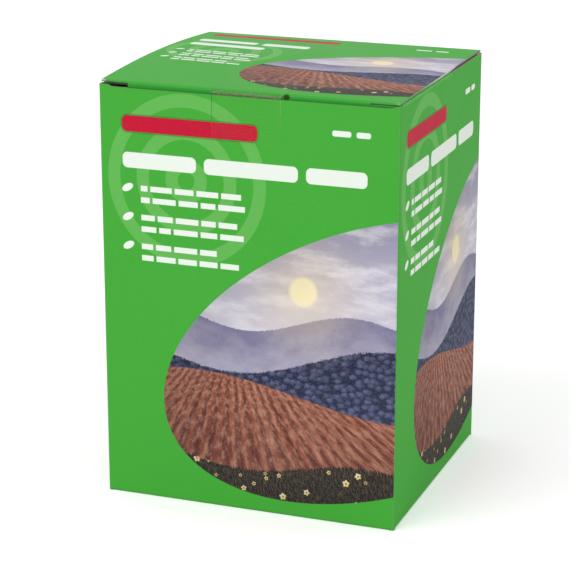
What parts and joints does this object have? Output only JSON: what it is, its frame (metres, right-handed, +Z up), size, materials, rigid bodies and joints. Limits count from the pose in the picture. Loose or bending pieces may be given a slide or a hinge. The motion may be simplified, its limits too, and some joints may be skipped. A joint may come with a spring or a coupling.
{
  "type": "tuck-top carton",
  "caption": "Closed upright tuck-top folding carton for gutter guard: printed board walls, glued bottom, hinged lid with tuck flap and slit locks, dust flaps, and a clear tape seal.",
  "frame": {"origin": "on the floor, under the middle of the box's outside footprint", "axes": "+X to the right across the front panel, +Y from the front panel to the rear panel, +Z up"},
  "size_m": [0.13, 0.1201, 0.1822],
  "materials": {
    "printed_board": "green offset print with a satin varnish outside, bare grey board inside",
    "clear_tape": "clear glossy film"
  },
  "bodies": {
    "box": {"carton": "printed_board"},
    "lid": {"lid": "printed_board", "closing_tape": "clear_tape"},
    "left_dust_flap": {"dust_flap_left": "printed_board"},
    "right_dust_flap": {"dust_flap_right": "printed_board"}
  },
  "joints": [
    {"name": "lid_hinge", "type": "hinge", "parent": "box", "child": "lid", "pos_m": [0, 0.05965, 0.18065], "axis": [-1, 0, 0], "range_deg": [0, 130]},
    {"name": "left_dust_flap_hinge", "type": "hinge", "parent": "box", "child": "left_dust_flap", "pos_m": [-0.06465, 0, 0.17955], "axis": [0, -1, 0], "range_deg": [0, 97.5]},
    {"name": "right_dust_flap_hinge", "type": "hinge", "parent": "box", "child": "right_dust_flap", "pos_m": [0.06465, 0, 0.17955], "axis": [0, 1, 0], "range_deg": [0, 97.5]}
  ],
  "couplings": [
    {"joint": "left_dust_flap_hinge", "follows": "lid_hinge", "ratio": 0.75},
    {"joint": "right_dust_flap_hinge", "follows": "lid_hinge", "ratio": 0.75}
  ]
}
